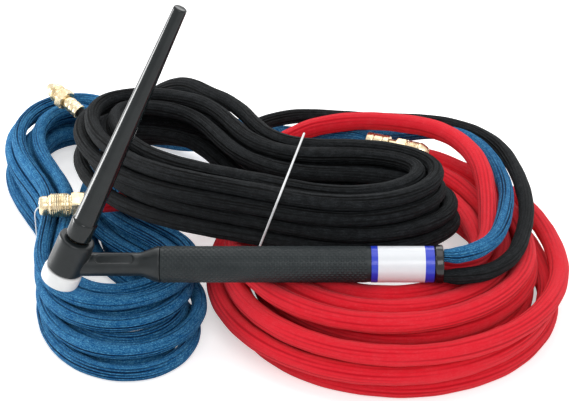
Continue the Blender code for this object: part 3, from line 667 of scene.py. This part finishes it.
def hose(name, line, d, pleats, depth, seed, material, slot, *nodes):
    """one covered hose along its line, with pleats along it, drawn in at both ends"""
    rng = np.random.default_rng(seed)
    count, sides = len(line), 2 * pleats
    run = run_along(line)
    ways = np.gradient(line, axis=0)
    ways /= np.linalg.norm(ways, axis=1)[:, None]
    side = np.cross(ways[0], (0, 0, 1))
    sides_at = []
    for way in ways:
        side = unit(side - way * (side @ way))
        sides_at.append(side)
    sides_at = np.array(sides_at)
    ups_at = np.cross(ways, sides_at)
    fold = np.arange(sides) % 2
    strength = np.repeat(rng.uniform(0.35, 1.0, pleats), 2)
    waves = np.repeat(rng.uniform(0.09, 0.22, pleats), 2)
    starts = np.repeat(rng.uniform(0, 2 * pi, pleats), 2)
    swell = 0.65 + 0.35 * np.sin(2 * pi * run[:, None] / waves + starts)
    sink = fold * strength * swell
    slack = 1 + 0.018 * np.sin(2 * pi * run / 0.061) + 0.014 * np.sin(2 * pi * run / 0.023 + 1)
    ease = np.clip(np.minimum(run, run[-1] - run) / END_TAPER, 0, 1)
    ease = END_SHARE + (1 - END_SHARE) * ease * ease * (3 - 2 * ease)
    radius = ((d / 2 + COVER_SKIN) * slack * ease)[:, None] - depth * sink
    turn = 2 * pi * np.arange(sides) / sides + (0.7 * run + 0.5 * np.sin(run * 5))[:, None]
    spots = (line[:, None, :] + sides_at[:, None, :] * (radius * np.cos(turn))[:, :, None]
             + ups_at[:, None, :] * (radius * np.sin(turn))[:, :, None])
    spots[:, :, 2] = np.maximum(spots[:, :, 2], CLEAR)
    corner = np.arange(count * sides).reshape(count, sides)
    ahead = np.roll(corner, -1, axis=1)
    faces = np.stack([corner[:-1], ahead[:-1], ahead[1:], corner[1:]], axis=-1).reshape(-1, 4)
    caps = [corner[0][::-1].tolist(), corner[-1].tolist()]
    mesh = bpy.data.meshes.new(name)
    mesh.from_pydata(spots.reshape(-1, 3).tolist(), [], faces.tolist() + caps)
    wrap = mesh.uv_layers.new(name="wrap")
    u = np.arange(sides)[None, :] / sides
    v = run[:, None] / (pi * d)
    square = np.zeros((count - 1, sides, 4, 2))
    for c, (right, up) in enumerate(((0, 0), (1, 0), (1, 1), (0, 1))):
        square[:, :, c, 0] = u + right / sides
        square[:, :, c, 1] = v[up:count - 1 + up]
    flat = np.concatenate([square.reshape(-1), np.zeros(4 * sides)])
    wrap.data.foreach_set("uv", flat.astype(np.float32))
    length = np.repeat((2 * run / d)[:, None], sides, axis=1)
    cover = np.stack([np.cos(turn), np.sin(turn), length], axis=-1)
    place_on_cover = mesh.attributes.new("cover", 'FLOAT_VECTOR', 'POINT')
    place_on_cover.data.foreach_set("vector", cover.reshape(-1).astype(np.float32))
    # the pleat depth also goes to the cover's colour, where it lays painted shade in the grooves
    pleat_depth = mesh.attributes.new("pleat", 'FLOAT', 'POINT')
    pleat_depth.data.foreach_set("value", sink.reshape(-1).astype(np.float32))
    made = piece(name, mesh, material, "torch", slot, *nodes)
    mesh.shade_smooth()
    return made


red_hose = hose("red_hose", red_run, RED_D, PLEATS, RED_PLEAT, 3, RED_COVER, "red_cover",
                "red_lead", "red_coil", "red_tail")
blue_hose = hose("blue_hose", blue_run, BLUE_D, PLEATS, PLEAT, 5, BLUE_COVER, "blue_cover",
                 "blue_lead", "blue_hank", "blue_tail")
black_hose = hose("black_hose", black_run, BLACK_D, PLEATS, PLEAT, 7, BLACK_COVER, "black_cover",
                  "black_lead", "black_hank", "black_tail")


# Torch body: head, neck and flare in one rubber moulding
def cut(obj, mesh, operation):
    """joins a shape to an object or takes it away"""
    tool = shape_holder(mesh)
    step = obj.modifiers.new(operation, 'BOOLEAN')
    step.operation = operation
    step.solver = 'EXACT'
    step.object = tool
    plain = plain_mesh(obj)
    obj.modifiers.clear()
    obj.data = plain
    bpy.data.objects.remove(tool, do_unlink=True)


def bar(name, radius, low, high, steps=64):
    """a plain round bar along its own z"""
    return turned(name, [(0, high, 0), (radius, high, 0), (radius, low, 0), (0, low, 0)], steps)


def torch_body():
    """head and neck joined with a soft fillet, with the shallow pocket on the neck"""
    flare = [(NECK_R + (HANDLE_R - NECK_R) * (3 * s * s - 2 * s ** 3),
              FLARE_START + (HANDLE_FRONT - CLEAR - FLARE_START) * s, 0) for s in np.linspace(0, 1, 13)]
    neck = [(0, PLUG_REAR, 0), (PLUG_R, PLUG_REAR, 0.001), (PLUG_R, HANDLE_FRONT - CLEAR, 0)]
    neck += flare[::-1] + [(NECK_R, HEAD_X, 0), (0, HEAD_X, 0)]
    head = [(0, HEAD_TOP, 0), (HEAD_R, HEAD_TOP, 0.0018), (HEAD_R, HEAD_LOW, 0.0012), (0, HEAD_LOW, 0)]
    body = shape_holder(placed(turned("neck", neck), HANDLE_ZERO, HANDLE_AXIS))
    past = 0.03
    gasket_room = bar("gasket_room", GASKET_R + 2 * CLEAR, -past, HEAD_LOW + 0.0005)
    cut(body, placed(gasket_room, HEAD_ZERO, HEAD_AXIS), 'DIFFERENCE')
    cut(body, placed(turned("head", head), HEAD_ZERO, HEAD_AXIS), 'UNION')
    out = Vector((0, -cos(POCKET_TURN), sin(POCKET_TURN)))
    pocket = bar("pocket", POCKET_HALF, 0, 0.01, 48)
    for v in pocket.vertices:
        v.co.x += (POCKET_LENGTH / 2 - POCKET_HALF) * (1 if v.co.x > 0 else -1)
    turn = Matrix((HANDLE_AXIS, -HANDLE_AXIS.cross(out), out)).transposed().to_4x4()
    pocket_floor = Vector((POCKET_X, 0, AXIS_Z)) + out * POCKET_FLOOR_R
    pocket.transform(Matrix.Translation(pocket_floor) @ turn)
    cut(body, pocket, 'DIFFERENCE')
    core_hole = bar("core_hole", CORE_R + CLEAR, -past, past)
    cut(body, placed(core_hole, HEAD_ZERO, HEAD_AXIS), 'DIFFERENCE')
    skin = body.modifiers.new("skin", 'REMESH')
    skin.mode = 'VOXEL'
    skin.voxel_size = 0.00034
    relax = body.modifiers.new("relax", 'SMOOTH')
    relax.factor = 0.5
    relax.iterations = 4
    mesh = plain_mesh(body)
    bpy.data.objects.remove(body, do_unlink=True)
    piece("torch_body", mesh, RUBBER, "torch", "moulding", "body_moulding")
    mesh.shade_smooth()


torch_body()

# Knurled handle, label film and rear ring
KNURL_BASE_R = HANDLE_R - 0.00022
KNURL_PITCH = 0.0031
GROOVE_R = HANDLE_R - LABEL_SKIN - CLEAR
sleeve = turned("handle", [
    (GROOVE_R, HANDLE_REAR, 0), (GROOVE_R, LABEL_FRONT - CLEAR, 0),
    (KNURL_BASE_R, LABEL_FRONT - CLEAR, 0.0003), (KNURL_BASE_R, HANDLE_FRONT, 0.0005),
    (HANDLE_BORE_R, HANDLE_FRONT, 0.0002), (HANDLE_BORE_R, HANDLE_REAR, 0)], 120)
knurled = grown(sleeve, knurl_rows(), Rows=42, Bumps_in_a_row=40, Radius=KNURL_BASE_R - 0.00005,
                Start=HANDLE_FRONT + 0.0017, Pitch=KNURL_PITCH, Length=0.00125, Width=0.00078, Height=0.00036,
                Material=GRIP)
piece("knurled_handle", placed(knurled, HANDLE_ZERO, HANDLE_AXIS), GRIP, "torch", "grip", "handle_sleeve")
film = turned("label", [
    (HANDLE_R, HANDLE_REAR, 0.0001), (HANDLE_R, LABEL_FRONT, 0.0001),
    (HANDLE_R - LABEL_SKIN, LABEL_FRONT, 0), (HANDLE_R - LABEL_SKIN, HANDLE_REAR, 0)], 120)
piece("label_film", placed(film, HANDLE_ZERO, HANDLE_AXIS), LABEL, "torch", "label", "label_sleeve")
ring = turned("rear_ring", [
    (0, BOOT_REAR - 0.0004, 0), (BOOT_R - 0.0026, BOOT_REAR - 0.0004, 0.0005),
    (BOOT_R - 0.0020, BOOT_REAR, 0.0004), (BOOT_R, BOOT_REAR, 0.0012), (BOOT_R, BOOT_FACE, 0.0012),
    (PLUG_R, BOOT_FACE, 0), (PLUG_R, BOOT_FACE - BOOT_PLUG_LENGTH, 0.0006),
    (0, BOOT_FACE - BOOT_PLUG_LENGTH, 0)])
piece("rear_ring", placed(ring, HANDLE_ZERO, HANDLE_AXIS), GLOSS, "torch", "boot", "handle_rear_boot")

# Gasket, back cap and its seal
gasket = turned("gasket", [
    (GASKET_R - 0.0003, GASKET_TOP, 0.0016), (GASKET_R, GASKET_LOW + 0.005, 0.002),
    (GASKET_R - 0.0004, GASKET_LOW, 0.0020), (CORE_NOSE_R + CLEAR, GASKET_LOW, 0.0006),
    (CORE_NOSE_R + CLEAR, GASKET_TOP, 0)])
piece("cup_gasket_ring", placed(gasket, HEAD_ZERO, HEAD_AXIS), GASKET, "torch", "gasket", "cup_gasket")
cap = turned("cap", [
    (0, CAP_TIP, 0), (CAP_TIP_R, CAP_TIP, 0.0012), (CAP_FOOT_R, CAP_FOOT, 0.0006),
    (COLLAR_R, COLLAR_TOP, 0.0006), (COLLAR_R, COLLAR_LOW, 0.0007), (STEM_R, COLLAR_LOW, 0.0002),
    (STEM_R, STEM_LOW, 0.0004), (CAP_BORE_R, STEM_LOW, 0.0002), (CAP_BORE_R, CAP_TIP - 0.0040, 0),
    (0, CAP_TIP - 0.0030, 0)])
crest = thread_crest()
cap = grown(cap, crest, Radius=STEM_R - 0.0002, Start=0.0066, Length=0.0114, Turns=9.0, Crest=0.00035,
            Material=CAP)
piece("long_back_cap", placed(cap, HEAD_ZERO, HEAD_AXIS), CAP, "back_cap", "cap", "back_cap")
seal = turned("seal", [(SEAL_R + RING_R * cos(a), SEAL_T + RING_R * sin(a), 0)
                       for a in np.linspace(2 * pi, 0, 16, endpoint=False)], 72)
piece("cap_seal_ring", placed(seal, HEAD_ZERO, HEAD_AXIS), SEAL, "cap_seal", "seal", "back_cap_o_ring")


# Brass ends, each along its own z from the end of its hose
def crimp_ring(name, end, way, outer, inner, long, *nodes):
    """a crimp ring with one or two shallow rolled grooves"""
    deep = outer - 0.0003
    rows = [(inner, long, 0.0002), (outer, long, 0.0004)]
    for share in (0.70, 0.30) if long > 0.006 else (0.5,):
        mid = long * share
        rows += [(outer, mid + 0.0009, 0.0002), (deep, mid + 0.0004, 0.0002),
                 (deep, mid - 0.0004, 0.0002), (outer, mid - 0.0009, 0.0002)]
    rows += [(outer, 0, 0.0004), (inner, 0, 0.0002)]
    return piece(name, placed(turned(name, rows), end, way), BRASS, "torch", "brass", *nodes)


def power_adaptor():
    """hexagon, relief, thread, slot ring and rounded nose"""
    bore, nose_r, thread_r, hex_r = 0.0026, 0.0065, 0.00745, 0.0094
    rows = [(bore, 0.0340, 0.0004), (0.0057, 0.0340, 0.0016), (nose_r, 0.0318, 0.0010),
            (nose_r, 0.0286, 0.0002), (0.0058, 0.0285, 0.0001), (0.0058, 0.0279, 0.0001),
            (0.0069, 0.0278, 0.0002), (0.0069, 0.0271, 0.0002), (thread_r, 0.0266, 0.0003),
            (thread_r, 0.0143, 0.0003), (0.0066, 0.0138, 0.0003), (0.0066, 0.0128, 0.0002),
            (0.0080, 0.0127, 0), (0.0090, 0.0122, 0), (hex_r, 0.0118, 0), (hex_r, 0.0046, 0),
            (0.0090, 0.0042, 0), (0.0080, 0.0037, 0), (bore, 0.0037, 0.0002)]
    mesh = turned("adaptor", rows, flats=(hex_r * cos(pi / 6), 0.0040, 0.0124))
    mesh = grown(mesh, crest, Radius=0.0075, Start=0.0150, Length=0.0112, Turns=9.0, Crest=0.00052,
                 Material=BRASS)
    return piece("power_adaptor", placed(mesh, POWER_END, POWER_WAY), BRASS, "torch", "brass",
                 "power_end_adaptor")


def nipple_and_nut(line, end, way, ferrule_l, shank_r, flange_r, nut_low, hex_r, hex_l, thread_r, nut_high,
                   turns):
    """a bullet-nosed nipple and the loose nut on it"""
    way_through = 0.0015
    flange = nut_high + CLEAR
    tip = flange + 0.0068
    nose = [(way_through, tip, 0.0003), (0.0024, tip, 0.0008), (0.0036, flange + 0.0050, 0.0010),
            (flange_r - 0.0003, flange + 0.0022, 0.0005), (flange_r, flange + 0.0014, 0.0004),
            (flange_r, flange, 0.0003), (shank_r, flange, 0.0002), (shank_r, ferrule_l + CLEAR, 0.0003),
            (way_through, ferrule_l + CLEAR, 0)]
    nipple = piece(line + "_nipple", placed(turned("nipple", nose), end, way), BRASS, "torch", "brass",
                   line + "_end_nipple")
    flat = hex_r * cos(pi / 6)
    bore = shank_r + CLEAR
    root = thread_r - 0.00045
    top = nut_low + hex_l
    rows = [(bore, nut_high, 0.0003), (root, nut_high, 0.0004), (root, top + 0.0012, 0.0003),
            (root - 0.0004, top + 0.0008, 0.0002), (root - 0.0004, top, 0.0002), (hex_r * 0.88, top, 0),
            (hex_r * 0.96, top - 0.0004, 0), (hex_r, top - 0.0008, 0), (hex_r, nut_low + 0.0008, 0),
            (hex_r * 0.96, nut_low + 0.0004, 0), (hex_r * 0.88, nut_low, 0), (bore, nut_low, 0.0003)]
    mesh = turned("nut", rows, flats=(flat, nut_low + 0.0002, top - 0.0002))
    mesh = grown(mesh, crest, Radius=root, Start=top + 0.0016, Length=nut_high - top - 0.0026, Turns=turns,
                 Crest=0.00042, Material=BRASS)
    nut = piece(line + "_nut", placed(mesh, end, way), BRASS, line + "_nut", "brass", line + "_end_nut")
    return [nipple, nut]


GAS_CRIMP_LENGTH = 0.0110
WATER_CRIMP_LENGTH = 0.0160
power_pieces = [crimp_ring("power_crimp_ring", POWER_END, POWER_WAY, 0.0056, 0.0030, 0.0034,
                           "power_end_ferrule"), power_adaptor()]
gas_pieces = [crimp_ring("gas_crimp_ring", GAS_END, GAS_WAY, 0.0052, 0.0026, GAS_CRIMP_LENGTH,
                         "gas_end_ferrule")]
gas_pieces += nipple_and_nut("gas", GAS_END, GAS_WAY, GAS_CRIMP_LENGTH, shank_r=0.0042, flange_r=0.0056,
                             nut_low=0.0140, hex_r=0.0080, hex_l=0.0060, thread_r=0.0066, nut_high=0.0264,
                             turns=5.0)
water_pieces = [crimp_ring("water_crimp_ring", WATER_END, WATER_WAY, 0.0056, 0.0026, WATER_CRIMP_LENGTH,
                           "water_end_ferrule")]
water_pieces += nipple_and_nut("water", WATER_END, WATER_WAY, WATER_CRIMP_LENGTH, shank_r=0.0036,
                               flange_r=0.0052, nut_low=0.0220, hex_r=0.0061, hex_l=0.0070, thread_r=0.0053,
                               nut_high=0.0377, turns=7.0)


# Ties round the two hanks
TIE_SAMPLES = 32          # points between two CAD points of a hank, to find its strands
TIE_BAND = 0.0008         # how near to the tie's plane a strand's point counts
TIE_STEP = 0.0015         # between the rings of a tie


def tie(name, coil, d, spot, across, node, lean=0.0, low=0.0):
    """a thin tie, a little flat, about the strands that cross a plane that may lean along the hank"""
    across = unit((*across, 0.0))
    along = np.array((-across[1], across[0], 0))
    upright = np.array((0, 0, 1))
    up = upright * cos(radians(lean)) + along * sin(radians(lean))
    square = along * cos(radians(lean)) - upright * sin(radians(lean))
    line = coil[::FINE]
    shares = np.linspace(0, 1, TIE_SAMPLES, endpoint=False)
    fine = np.vstack([line[:-1] * (1 - t) + line[1:] * t for t in shares])
    near = fine[np.abs((fine - spot) @ square) < TIE_BAND]
    reach = (near - spot) @ across
    height = (near - spot) @ up
    out = d / 2 / cos(radians(lean)) + TIE_R + 2 * CLEAR
    left, right = reach.min(), reach.max()
    bottom, top = height.min(), height.max()
    path = []
    for u, h, turn in ((right, top, 0), (left, top, 90), (left, bottom, 180), (right, bottom, 270)):
        for a in np.radians(np.linspace(turn, turn + 90, 9)):
            place = spot + across * (u + out * cos(a)) + up * (h + out * sin(a))
            path.append((place[0], place[1], max(place[2], low)))
    path = evenly(np.array(path + path[:1]), TIE_STEP)[:-1]
    ways = np.roll(path, -1, axis=0) - np.roll(path, 1, axis=0)
    ways /= np.linalg.norm(ways, axis=1)[:, None]
    outward = np.cross(ways, square)
    sides = 12
    turn = 2 * pi * np.arange(sides) / sides
    spots = (path[:, None, :] + outward[:, None, :] * (0.8 * TIE_R * np.cos(turn))[None, :, None]
             + square[None, None, :] * (1.15 * TIE_R * np.sin(turn))[None, :, None])
    corner = np.arange(len(path) * sides).reshape(len(path), sides)
    ahead = np.roll(corner, -1, axis=1)
    faces = np.stack([corner, ahead, np.roll(ahead, -1, axis=0), np.roll(corner, -1, axis=0)], axis=-1)
    faces = faces.reshape(-1, 4)
    mesh = bpy.data.meshes.new(name)
    mesh.from_pydata(spots.reshape(-1, 3).tolist(), [], faces.tolist())
    outwards = bmesh.new()
    outwards.from_mesh(mesh)
    bmesh.ops.recalc_face_normals(outwards, faces=outwards.faces)
    outwards.to_mesh(mesh)
    outwards.free()
    return piece(name, mesh, TIE, "torch", "tie", node)


tie("black_bundle_tie", black_hank, BLACK_D, mm([(7, 74, 98)])[0], (-17, -88), "black_hank_tie", lean=18.6)
tie("blue_bundle_tie", blue_hank, BLUE_D, mm([(-137.5, 114, 0)])[0], (0.97, 0.24), "blue_hank_tie",
    low=TIE_R + CLEAR)

# Inner CAD pieces keep their shape and get their finish
INNER_FINISH = {"_tube": COPPER, "_barb": BRASS, "_crimp": BRASS, "head_core": BRASS, "_hose_end": BARE_HOSE}
for node_name, node in frame["nodes"].items():
    for ending, finish in INNER_FINISH.items():
        if node_name.endswith(ending):
            node.data.materials.clear()
            node.data.materials.append(finish)


# Floor, world and lamps
def rays_that_show(tree):
    """1 for what the camera sees straight on, in a reflection or through a clear piece, and 0 for light"""
    rays = put(tree, 'ShaderNodeLightPath').outputs
    bent = math(tree, 'MAXIMUM', rays['Is Glossy Ray'], rays['Is Transmission Ray'])
    return math(tree, 'MAXIMUM', rays['Is Camera Ray'], bent)


def white_floor():
    """a pale floor that shows white where it is lit and keeps the shadow"""
    mesh = bpy.data.meshes.new("floor")
    mesh.from_pydata([(-4, -4, 0), (4, -4, 0), (4, 4, 0), (-4, 4, 0)], [], [(0, 1, 2, 3)])
    made, shader, tree = new_finish("pale_floor", Roughness=0.9, Specular_IOR_Level=0.0)
    shader.inputs['Base Color'].default_value = (0.90, 0.90, 0.90, 1)
    shader.inputs['Emission Color'].default_value = (1, 1, 1, 1)
    glow = math(tree, 'MULTIPLY', rays_that_show(tree), 0.50)
    tree.links.new(glow, shader.inputs['Emission Strength'])
    mesh.materials.append(made)
    floor = bpy.data.objects.new("floor", mesh)
    scene.collection.objects.link(floor)


def white_world():
    """soft light from all round, seen as white"""
    world = bpy.data.worlds.new("studio")
    scene.world = world
    world.use_nodes = True
    tree = world.node_tree
    tree.nodes.clear()
    level = between(tree, rays_that_show(tree), 0.60, 1.0)
    sky = put(tree, 'ShaderNodeBackground', {'Color': (1, 1, 1, 1), 'Strength': level})
    put(tree, 'ShaderNodeOutputWorld', {'Surface': sky.outputs[0]})


def lamp(name, place, aim, size, power):
    """one soft box"""
    data = bpy.data.lights.new(name, 'AREA')
    data.shape = 'RECTANGLE'
    data.size, data.size_y = size
    data.energy = power
    obj = bpy.data.objects.new(name, data)
    obj.location = place
    obj.rotation_euler = (Vector(aim) - Vector(place)).to_track_quat('-Z', 'Y').to_euler()
    scene.collection.objects.link(obj)


white_floor()
white_world()
lamp("top_box", (0.05, 0.25, 1.25), (0, 0.08, 0), (0.9, 0.9), 3.6)
lamp("back_box", (0.05, 1.05, 0.80), (0, 0.0, 0.05), (1.2, 0.4), 4.0)
lamp("left_strip", (-0.85, 0.30, 0.16), (-0.09, 0.0, 0.15), (0.35, 0.3), 4.6)
lamp("front_box", (0.25, -0.95, 0.95), (0, 0.05, 0.03), (0.7, 0.5), 4.6)
